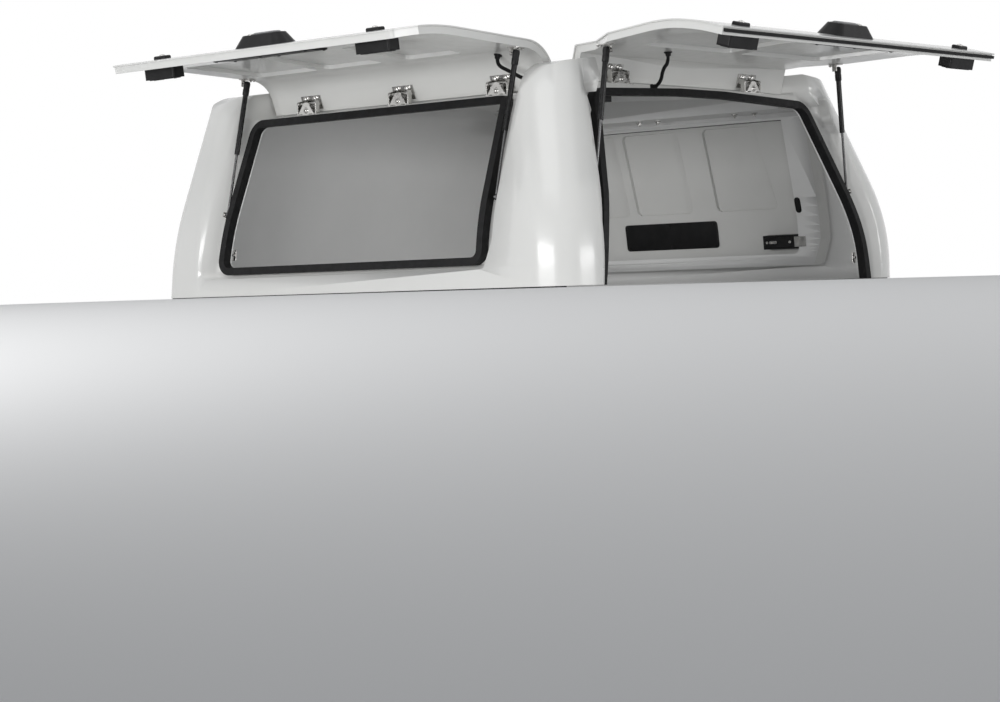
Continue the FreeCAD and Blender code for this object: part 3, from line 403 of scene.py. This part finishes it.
def moved(matrix, x, y, z):
    """Matrix moved along its own axes."""
    return matrix @ Matrix.Translation((x, y, z))


def inward(matrix, depth):
    """Matrix that faces the other way, at a depth under the first."""
    return moved(matrix, 0, 0, -depth) @ Matrix.Rotation(math.pi, 4, "X")


trees = {}


def surface(name):
    """Search tree of a CAD node's mesh at rest."""
    if name not in trees:
        mesh = frame["nodes"][name].data
        trees[name] = BVHTree.FromPolygons([v.co for v in mesh.vertices], [p.vertices for p in mesh.polygons])
    return trees[name]


def hit(names, origin, direction):
    """First place and normal where a ray meets the named nodes, or None."""
    best = None
    for name in names:
        place, normal, _, distance = surface(name).ray_cast(origin, direction.normalized())
        if place is not None and (best is None or distance < best[2]):
            best = (place, normal if normal.dot(direction) < 0 else -normal, distance)
    return best[:2] if best else None


def sight(pixel, names):
    """Where a pixel of the photograph falls on the named nodes."""
    across = (pixel[0] - PHOTO_MIDDLE[0]) / FOCAL
    drop = (pixel[1] - PHOTO_MIDDLE[1]) / FOCAL
    return hit(names, EYE, forward + right * across + down * drop)


def fasten(bm, names, origin, way, make, *sizes):
    """Sets a fastener where a ray meets the named nodes, if it does."""
    found = hit(names, origin, way)
    if found:
        make(bm, at(*found), *sizes)


def on_profile(height, tilt):
    """Tilt of the outer face at height, and how far it lies inboard of its foot."""
    reach = BEND * math.tan(tilt / 2)
    start = BELT - reach
    if height < start:
        return 0.0, 0.0
    if height > BELT + reach * math.cos(tilt):
        return tilt, (height - BELT) * math.tan(tilt)
    here = math.asin((height - start) / BEND)
    return here, BEND * (1 - math.cos(here))


def side_frame(y, height, depth=0.0):
    """Frame under the right side's face: own X forward, Y up, Z out."""
    tilt, inboard = on_profile(height, LEAN)
    out = Vector((math.cos(tilt), 0, math.sin(tilt)))
    up = Vector((-math.sin(tilt), 0, math.cos(tilt)))
    return basis(AHEAD, up, out, Vector((HALF - inboard, y, height)) - out * depth)


def rear_frame(x, height, depth=0.0):
    """Frame under the rear face: own X to the right, Y up, Z out."""
    tilt, inboard = on_profile(height, RAKE)
    out = Vector((0, -math.cos(tilt), math.sin(tilt)))
    up = Vector((0, math.sin(tilt), math.cos(tilt)))
    return basis(RIGHT, up, out, Vector((x, REAR + inboard, height)) - out * depth)


def about(pin, axis, angle):
    """Turn about a line."""
    return Matrix.Translation(pin) @ Matrix.Rotation(angle, 4, axis) @ Matrix.Translation(-pin)


# From the right side, or the closed rear door, to each door at rest and to its side of the shell

DOORS = ("left_door", "right_door", "rear_door")
FLIP = Matrix.Diagonal((-1, 1, 1, 1))
LEFT_PIN = FLIP @ SIDE_PIN
OPEN = {"right_door": Matrix.Identity(4),
        "left_door": about(LEFT_PIN, AHEAD, SIDE_SWING) @ FLIP,
        "rear_door": about(REAR_PIN, -RIGHT, REAR_SWING)}
SHELL_SIDE = {"left_door": FLIP, "right_door": Matrix.Identity(4), "rear_door": Matrix.Identity(4)}

# CAD nodes: materials by the record's slots, and shading

WALLS = ("front_wall", "roof", "left_side", "right_side")
slots = {entry["node"]: entry["material_slot"] for entry in frame["record"]["subparts"]}
for name, obj in frame["nodes"].items():
    obj.data.materials.clear()
    obj.data.materials.append(LOOKS[slots[name]])
    if name not in WALLS:
        shade(obj, 28)

# The moulding: one skin over its four nodes, white outside and grey inside

FLAT = 0.999
ON_PLANE = 0.0001
LIFT_OFF = 0.012
CARGO_HEART = MIDDLE + UP * 0.30


def on_split(face):
    """Whether a triangle lies in a plane that only divides the moulding."""
    c, n = face.calc_center_median(), face.normal
    if abs(n.z) > FLAT and abs(c.z - SPLIT_Z) < ON_PLANE and c.y < SPLIT_Y + 0.001:
        return True
    if abs(n.y) > FLAT and abs(c.y - SPLIT_Y) < ON_PLANE:
        return True
    return abs(n.x) > FLAT and abs(c.x) < ON_PLANE


def is_outside(face):
    """Whether a wall stands between a triangle and the middle of the cargo space."""
    start = face.calc_center_median() + face.normal * LIFT_OFF
    way = CARGO_HEART - start
    return any(surface(name).ray_cast(start, way.normalized(), way.length)[0] is not None for name in WALLS)


bm = merged(WALLS, lambda face: not on_split(face))
for face in bm.faces:
    face.material_index = 0 if is_outside(face) else 1
moulding = piece("shell_moulding", bm, "shell", [GEL, FLOW], 28)
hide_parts(*WALLS)

# Opening seals: rubber rounded to a bulb

bm = merged(["opening_seals"])
bmesh.ops.dissolve_limit(bm, angle_limit=math.radians(1.5), verts=bm.verts, edges=bm.edges)
seal = piece("opening_seal_bulbs", bm, "shell", RUBBER, 50)
rounding = seal.modifiers.new("round", "BEVEL")
rounding.width = 0.006
rounding.segments = 4
rounding.limit_method = "ANGLE"
rounding.angle_limit = math.radians(40)
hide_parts("opening_seals")


# Fasteners, each on its own Z

def dome_bolt(bm, matrix, r):
    """Round-headed bolt on a washer, with a hexagon socket."""
    lathe(bm, matrix,
          [(0, -0.001), (1.55 * r, -0.001), (1.55 * r, 0.0008), (1.45 * r, 0.0013), (1.05 * r, 0.0013),
           (r, 0.0018), (0.97 * r, 0.0030), (0.85 * r, 0.0042), (0.62 * r, 0.0050), (0.40 * r, 0.0052),
           (0.38 * r, 0.0030), (0, 0.0028)], 20)


def hex_nut(bm, matrix, r):
    """Hexagon nut on a washer with the bolt's end."""
    lathe(bm, matrix,
          [(0, -0.001), (1.45 * r, -0.001), (1.45 * r, 0.0010), (1.38 * r, 0.0016), (0, 0.0016)], 24)
    lathe(bm, matrix,
          [(0, 0.0014), (r, 0.0014), (r, 0.0068), (0.86 * r, 0.0078), (0.55 * r, 0.0078), (0, 0.0078)], 6)
    lathe(bm, matrix,
          [(0, 0.0074), (0.5 * r, 0.0074), (0.5 * r, 0.0120), (0.42 * r, 0.0128), (0, 0.0128)], 16)


def leaf_knob(bm, matrix):
    """Domed stud on a hinge leaf."""
    lathe(bm, matrix,
          [(0, -0.001), (0.0108, -0.001), (0.0108, 0.0012), (0.0100, 0.0018), (0.0090, 0.0022),
           (0.0090, 0.0052), (0.0078, 0.0074), (0.0052, 0.0088), (0.0022, 0.0092), (0, 0.0092)], 24)


def cover_screw(bm, matrix):
    """Flat plastic screw with a dimple."""
    lathe(bm, matrix,
          [(0, -0.0010), (0.0048, -0.0010), (0.0048, 0.0006), (0.0036, 0.0018), (0.0016, 0.0020),
           (0, 0.0010)], 16)


# Hinges, on frames at their pins with X along the pin, Y up and Z out

SIDE_HINGE = {"feet": [(x, z) for x in (-0.022, 0.022) for z in (-0.013, 0.013)], "foot_bolt": 0.0050,
              "nut_x": 0.040, "nut_below": 0.098, "leaf_x": 0.020, "rise": 0.040}
REAR_HINGE = {"feet": [(x, 0.012) for x in (-0.022, 0.022)], "foot_bolt": 0.0062,
              "nut_x": 0.034, "nut_below": 0.174, "leaf_x": 0.022, "rise": 0.036}
FOOT_BELOW = 0.012
NUT = 0.0080
LEAF_BOLT = 0.0058
LEAF_BOLT_Y, LEAF_BOLT_Z = 0.004, 0.013
KNOB_X, KNOB_Y, KNOB_Z = 0.021, 0.009, 0.011
FACE_LOW, FACE_HIGH, FACE_THICK, FACE_Z = 0.036, 0.017, 0.0026, 0.0085
FACE_BOLT, FACE_BOLT_Z = 0.0062, 0.0109

HINGES = []
for y in (BACK_HINGE_Y, (BACK_HINGE_Y + FRONT_HINGE_Y) / 2, FRONT_HINGE_Y):
    pin = basis(AHEAD, UP, RIGHT, Vector((SIDE_PIN.x, y, SIDE_PIN.z)))
    HINGES += [("left_door", pin, SIDE_HINGE), ("right_door", pin, SIDE_HINGE)]
for x in (-REAR_HINGE_X, REAR_HINGE_X):
    pin = basis(RIGHT, UP, -AHEAD, Vector((x, REAR_PIN.y, REAR_PIN.z)))
    HINGES.append(("rear_door", pin, REAR_HINGE))

foot_bolts, nuts, face_plates = bmesh.new(), bmesh.new(), bmesh.new()
leaf_bolts = {door: bmesh.new() for door in OPEN}
knobs = {door: bmesh.new() for door in OPEN}
for door, pin, kind in HINGES:
    fixed, moving = SHELL_SIDE[door] @ pin, OPEN[door] @ pin
    leaf, leaf_up = [door + "_hinge_leaves"], OPEN[door].to_3x3() @ UP
    for x, z in kind["feet"]:
        spot = fixed @ Vector((x, -FOOT_BELOW, z))
        fasten(foot_bolts, ["hinge_bases"], spot, -UP, dome_bolt, kind["foot_bolt"])
    for way in (-1, 1):
        spot = fixed @ Vector((way * kind["nut_x"], -kind["nut_below"], 0))
        fasten(nuts, ["roof"], spot, UP, hex_nut, NUT)
        spot = moving @ Vector((way * kind["leaf_x"], LEAF_BOLT_Y, LEAF_BOLT_Z))
        fasten(leaf_bolts[door], leaf, spot, leaf_up, dome_bolt, LEAF_BOLT)
        spot = moving @ Vector((way * KNOB_X, KNOB_Y, KNOB_Z))
        fasten(knobs[door], leaf, spot, leaf_up, leaf_knob)
    rise = kind["rise"]
    wedge(face_plates, moved(fixed, 0, 0.003 - rise, FACE_Z), FACE_LOW, FACE_HIGH, rise + 0.001, FACE_THICK)
    dome_bolt(face_plates, moved(fixed, 0, -0.55 * rise, FACE_BOLT_Z), FACE_BOLT)
piece("hinge_base_bolts", foot_bolts, "shell", STEEL)
piece("hinge_nuts", nuts, "shell", STEEL, 25)
for door, bm in leaf_bolts.items():
    piece(door + "_leaf_bolts", bm, door, STEEL)
piece("hinge_face_plates", face_plates, "shell", STEEL)
for door, bm in knobs.items():
    piece(door + "_leaf_knobs", bm, door, STEEL)

# Strut ends: plates and bolts on the doors, and hollow rubber boots over the upper balls

STRUTS = []
for door in ("left_door", "right_door"):
    for place, y in SIDE_STRUT_YS.items():
        foot = SHELL_SIDE[door] @ side_frame(y, SIDE_STUD_Z, STRUT_DEPTH)
        head = side_frame(y - SIDE_STRUT_LEAN, SIDE_EYE_Z)
        STRUTS.append((door, door.replace("door", place), foot, head, 0.005 if place == "back" else 0.0))
for side, sign in (("left", -1), ("right", 1)):
    foot = rear_frame(sign * REAR_STUD_X, REAR_STUD_Z, STRUT_DEPTH)
    STRUTS.append(("rear_door", "rear_" + side, foot, rear_frame(sign * REAR_EYE_X, REAR_EYE_Z), 0.0))

plates = {door: bmesh.new() for door in OPEN}
for door, label, foot, head, shift in STRUTS:
    panel = inward(OPEN[door] @ head, DOOR_DEPTH)
    if door != "rear_door":
        pad(plates[door], moved(panel, shift, -0.012, 0), 0.029, 0.036, 0.007,
            [(0, -0.001), (0, 0.0016), (0.0008, 0.0024)])
    for x in (-0.0075, 0.0075):
        dome_bolt(plates[door], moved(panel, shift + x, -0.0225, 0.0016), 0.0036)
    eye = moved(OPEN[door] @ head, 0, 0, -STRUT_DEPTH).translation
    bm = bmesh.new()
    lathe(bm, at(eye, eye - foot.translation, UP),
          [(0, -0.008), (0.0081, -0.008), (0.0081, -0.034), (0.0090, -0.034), (0.0100, -0.032),
           (0.0104, -0.016), (0.0096, -0.013), (0.0100, -0.009), (0.0106, -0.002), (0.0104, 0.004),
           (0.0088, 0.0085), (0.0050, 0.0105), (0, 0.0108)], 24)
    piece(label + "_strut_boot", bm, label + "_strut_tube_body", PLASTIC)
for door, bm in plates.items():
    piece(door + "_strut_plates", bm, door, STEEL)

# Screws of the strikers, and of the sill below the rear door

STRIKERS = [(way, SHELL_SIDE[door] @ side_frame(y, SIDE_LATCH_Z, STRIKER_DEPTH))
            for door in ("left_door", "right_door") for y, way in SIDE_STRIKERS]
STRIKERS += [(sign, rear_frame(sign * REAR_STRIKER_X, REAR_STRIKER_Z, STRIKER_DEPTH)) for sign in (-1, 1)]
SILL_SCREW_X, SILL_SCREW_Z = 0.40, 0.040

screws = bmesh.new()
for way, local in STRIKERS:
    for y in (-0.010, 0.010):
        spot = local @ Vector((way * 0.012, y, 0))
        fasten(screws, ["door_strikers"], spot, local.to_3x3() @ -UP, dome_bolt, 0.0045)
for sign in (-1, 1):
    spot = Vector((sign * SILL_SCREW_X, REAR - 0.06, SILL_SCREW_Z))
    fasten(screws, ["left_side", "right_side"], spot, AHEAD, dome_bolt, 0.0065)
piece("shell_screws", screws, "shell", STEEL)


# Latches, handles and lock cover plates, on frames whose Z points out of the door

def latch_details(bm, local):
    """Cover plate, cover screws and claw mouth on the inner face of a latch block."""
    low = inward(local, 0.0335)
    pad(bm, low, 0.112, 0.034, 0.006, [(0, -0.001), (0, 0.0012), (0.0012, 0.0024)])
    for x in (-0.046, 0.046):
        lathe(bm, moved(low, x, 0, 0.0020),
              [(0, -0.001), (0.0048, -0.001), (0.0048, 0.0008), (0.0040, 0.0016), (0.0016, 0.0016),
               (0, 0.0006)], 16, 1)
    mouth = moved(low, 0.022, 0, 0.0020)
    pad(bm, mouth, 0.030, 0.010, 0.004, [(0, -0.001), (0, 0.0006), (0.0008, 0.0014)], 1)


def lock_barrel(bm, local, r):
    """Round lock, with its key slot drawn as a thin black bar on the barrel's face: painted shade for the
    slot's depth.
    """
    lathe(bm, local,
          [(0, -0.002), (1.35 * r, -0.002), (1.35 * r, 0.0016), (1.22 * r, 0.0030), (1.02 * r, 0.0034),
           (r, 0.0026), (0.96 * r, 0.0036), (0.5 * r, 0.0040), (0, 0.0040)], 28, 1)
    # Key slot: a black plastic bar standing on the face, painted shade in place of a cut slot
    pad(bm, moved(local, 0, 0, 0.0038), 0.0022, 0.0085, 0.0008, [(0, -0.0004), (0, 0.0005)], 2)


def handle_details(bm, local):
    """Grey paddle, finger recess line and lock on the handle; own X along it."""
    paddle = moved(local, -0.012, 0, 0.0335)
    pad(bm, paddle, 0.094, 0.040, 0.014,
        [(0, -0.0015), (0, 0.0010), (0.0010, 0.0026), (0.0030, 0.0042), (0.0070, 0.0052), (0.0120, 0.0056)])
    pad(bm, paddle, 0.104, 0.049, 0.018, [(0, -0.001), (0, 0.0006), (0.0012, 0.0014)], 2)
    lock_barrel(bm, moved(local, 0.056, 0, 0.0335), 0.0075)


def middle_y(node):
    """Middle of a node's length."""
    lower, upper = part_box(node)
    return (lower[1] + upper[1]) / 2


SIDE_LATCHES = [side_frame(y, SIDE_LATCH_Z, DOOR_DEPTH) for y in SIDE_LATCH_YS]
REAR_LATCHES = [rear_frame(x, REAR_LATCH_Z, DOOR_DEPTH) for x in (-REAR_LATCH_X, REAR_LATCH_X)]
CAP_HEIGHT = 0.0345
SIDE_GRIP = side_frame(middle_y("right_door_handle"), SIDE_HANDLE_Z)
SIDE_COVER = side_frame(middle_y("right_door_lock_cover"), SIDE_COVER_Z)
REAR_GRIP = rear_frame(0, REAR_LOCK_Z)
COVER_LENGTH, COVER_WIDTH, COVER_CORNER = 0.400, 0.092, 0.011
COVER_SCREWS = [(x, y) for x in (-0.188, 0, 0.188) for y in (-0.037, 0.037)]

for door in DOORS:
    latches = [OPEN[door] @ local for local in (REAR_LATCHES if door == "rear_door" else SIDE_LATCHES)]
    bm = bmesh.new()
    for local in latches:
        latch_details(bm, local)
    piece(door + "_latch_covers", bm, door, [PLASTIC, STEEL])
    bm = bmesh.new()
    for local in latches:
        lock_barrel(bm, moved(local, 0, 0, CAP_HEIGHT), 0.0065)
    piece(door + "_cap_buttons", bm, door, [PLASTIC, STEEL, PLASTIC])
    bm = bmesh.new()
    handle_details(bm, OPEN[door] @ (REAR_GRIP if door == "rear_door" else SIDE_GRIP))
    piece(door + "_handle_paddle", bm, door, [GREY, STEEL, PLASTIC])

for door in DOORS:
    local = OPEN[door] @ (REAR_GRIP if door == "rear_door" else SIDE_COVER)
    bm = bmesh.new()
    pad(bm, inward(local, DOOR_DEPTH), COVER_LENGTH, COVER_WIDTH, COVER_CORNER,
        [(0, -0.0015), (0, 0.0042), (0.0006, 0.0052), (0.0016, 0.0058), (0.0030, 0.0060)])
    cover = piece(door + "_cover_plate", bm, door, PLASTIC)
    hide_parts(door + "_lock_cover")

for door in DOORS:
    local = OPEN[door] @ (REAR_GRIP if door == "rear_door" else SIDE_COVER)
    bm = bmesh.new()
    for x, y in COVER_SCREWS:
        spot = local @ Vector((x, y, -2 * DOOR_DEPTH))
        fasten(bm, [door + "_lock_cover"], spot, local.to_3x3() @ UP, cover_screw)
    piece(door + "_cover_screws", bm, door, PLASTIC)

# Wiring: a ribbed conduit from the shell to the left door and to the rear door

CONDUIT_RADIUS = 0.0055
CONDUIT_SIDES = 14
RIB_PITCH = 0.0032
RIB_STEPS = 4
RIB_VALLEY = 0.80
STUB = 0.03


def smooth_line(name, spots):
    """Points along a smooth curve between the outer spots."""
    curve = bpy.data.curves.new(name, "CURVE")
    curve.dimensions = "3D"
    spline = curve.splines.new("NURBS")
    spline.points.add(len(spots) - 1)
    for point, spot in zip(spline.points, spots):
        point.co = (*spot, 1)
    spline.order_u = 3
    spline.use_endpoint_u = True
    spline.resolution_u = 24
    holder = bpy.data.objects.new(name, curve)
    bpy.context.collection.objects.link(holder)
    bpy.context.view_layer.update()
    line = bpy.data.meshes.new_from_object(holder)
    path = [v.co.copy() for v in line.vertices]
    bpy.data.objects.remove(holder)
    return path


def conduit(name, spots):
    """Ribbed flexible conduit along a smooth line between the shell and a door."""
    path = smooth_line(name + "_line", spots)
    total = [0.0]
    for a, b in zip(path, path[1:]):
        total.append(total[-1] + (b - a).length)
    steps = int(total[-1] / (RIB_PITCH / RIB_STEPS))
    bm = bmesh.new()
    rings = []
    normal = UP
    seg = 0
    for s in range(steps + 1):
        want = total[-1] * s / steps
        while seg < len(path) - 2 and total[seg + 1] < want:
            seg += 1
        span = max(total[seg + 1] - total[seg], 1e-9)
        centre = path[seg].lerp(path[seg + 1], (want - total[seg]) / span)
        tangent = (path[seg + 1] - path[seg]).normalized()
        normal = (normal - tangent * normal.dot(tangent)).normalized()
        side = tangent.cross(normal)
        radius = CONDUIT_RADIUS * (1.0 if s % RIB_STEPS in (0, 1) else RIB_VALLEY)
        rings.append([bm.verts.new(centre + normal * x + side * y) for x, y in circle(radius, CONDUIT_SIDES)])
    stack(bm, rings)
    obj = piece(name, bm, None, RUBBER, 40)
    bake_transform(obj)


def boot(name, place, normal, body):
    """Rubber plug where a conduit enters a panel."""
    bm = bmesh.new()
    lathe(bm, at(place, normal),
          [(0, -0.002), (0.0125, -0.002), (0.0125, 0.0012), (0.0110, 0.0030), (0.0085, 0.0040),
           (0.0078, 0.0110), (0.0070, 0.0120), (0, 0.0120)], 24)
    piece(name, bm, body, RUBBER)


def wiring(name, door, shell_end, door_end, bulge, sag):
    """Conduit with its boots; an end is a place and its normal, and the middle bulges out and sags."""
    (a, shell_out), (b, door_out) = shell_end, door_end
    boot(name + "_shell_boot", a, shell_out, "shell")
    boot(name + "_door_boot", b, door_out, door)
    middle = (a + b) / 2 + shell_out * bulge - UP * sag
    conduit(name, [a, a + shell_out * STUB, middle, b + door_out * STUB, b])


# The left conduit leaves the rear wall of the recess, which the closed door covers

IN_RECESS = Vector((-0.655, -1.30, 0.592))
LEFT_DOOR_PIXEL = (498, 55)
REAR_SHELL_PIXEL = (653, 88)
REAR_DOOR_PIXEL = (668, 52)
wiring("left_conduit", "left_door", hit(["left_side", "roof"], IN_RECESS, -AHEAD),
       sight(LEFT_DOOR_PIXEL, ["left_door_liner", "left_door_skin"]), 0.02, 0.012)
wiring("rear_conduit", "rear_door", sight(REAR_SHELL_PIXEL, ["roof"]),
       sight(REAR_DOOR_PIXEL, ["rear_door_liner"]), 0.01, 0.0)

# Grommet on the inner right pillar

GROMMET_PIXEL = (798, 205)
place, normal = sight(GROMMET_PIXEL, ["right_side", "roof"])
bm = bmesh.new()
pad(bm, at(place, normal, UP), 0.052, 0.022, 0.010,
    [(0, -0.001), (0, 0.0020), (0.0020, 0.0042), (0.0060, 0.0050)])
piece("pillar_grommet", bm, "shell", RUBBER)

# Stage: a pale floor, level under the canopy and falling away towards the camera

LEVEL_RADIUS = 1.35
FLOOR_FALL = 0.012
radii = [0.0, 0.7] + [LEVEL_RADIUS + 0.35 * i for i in range(60)]
bm = bmesh.new()
lathe(bm, Matrix.Translation(MIDDLE), [(r, -FLOOR_FALL * max(0.0, r - LEVEL_RADIUS) ** 2) for r in radii], 96)
mesh = bpy.data.meshes.new("floor")
bm.to_mesh(mesh)
bm.free()
for polygon in mesh.polygons:
    polygon.use_smooth = True
mesh.materials.append(pale_floor())
floor = bpy.data.objects.new("floor", mesh)
bpy.context.collection.objects.link(floor)

# World: white where it is seen or mirrored, and a dim cool sky as a light

world = bpy.data.worlds.new("studio")
bpy.context.scene.world = world
world.use_nodes = True
nodes = world.node_tree.nodes
links = world.node_tree.links
sky = nodes["Background"]
sky.inputs["Color"].default_value = (0.94, 0.965, 1.0, 1)
sky.inputs["Strength"].default_value = 0.30
white = nodes.new("ShaderNodeBackground")
white.inputs["Color"].default_value = (1, 1, 1, 1)
white.inputs["Strength"].default_value = 1.0
ray = nodes.new("ShaderNodeLightPath")
seen_or_mirrored = nodes.new("ShaderNodeMath")
seen_or_mirrored.operation = "MAXIMUM"
any_sharp_ray = nodes.new("ShaderNodeMath")
any_sharp_ray.operation = "MAXIMUM"
mix = nodes.new("ShaderNodeMixShader")
links.new(ray.outputs["Is Camera Ray"], seen_or_mirrored.inputs[0])
links.new(ray.outputs["Is Glossy Ray"], seen_or_mirrored.inputs[1])
links.new(seen_or_mirrored.outputs[0], any_sharp_ray.inputs[0])
links.new(ray.outputs["Is Transmission Ray"], any_sharp_ray.inputs[1])
links.new(any_sharp_ray.outputs[0], mix.inputs["Fac"])
links.new(sky.outputs[0], mix.inputs[1])
links.new(white.outputs[0], mix.inputs[2])
links.new(mix.outputs[0], nodes["World Output"].inputs["Surface"])


# Lamps

def lamp(name, place, target, width, height, power):
    """Soft rectangular lamp aimed at a point."""
    light = bpy.data.lights.new(name, "AREA")
    light.shape = "RECTANGLE"
    light.size = width
    light.size_y = height
    light.energy = power
    obj = bpy.data.objects.new(name, light)
    bpy.context.collection.objects.link(obj)
    obj.location = place
    obj.rotation_mode = "QUATERNION"
    obj.rotation_quaternion = (Vector(target) - Vector(place)).to_track_quat("-Z", "Y")


lamp("key", (-3.5, -2.0, 4.2), (0, -0.8, 0.3), 3.2, 3.2, 40)
lamp("left fill", (-5.2, -1.2, 0.55), (0.2, -0.8, 0.40), 3.4, 0.9, 105)
lamp("rear fill", (0.0, -6.6, 0.55), (0, -0.8, 0.40), 3.4, 0.9, 80)
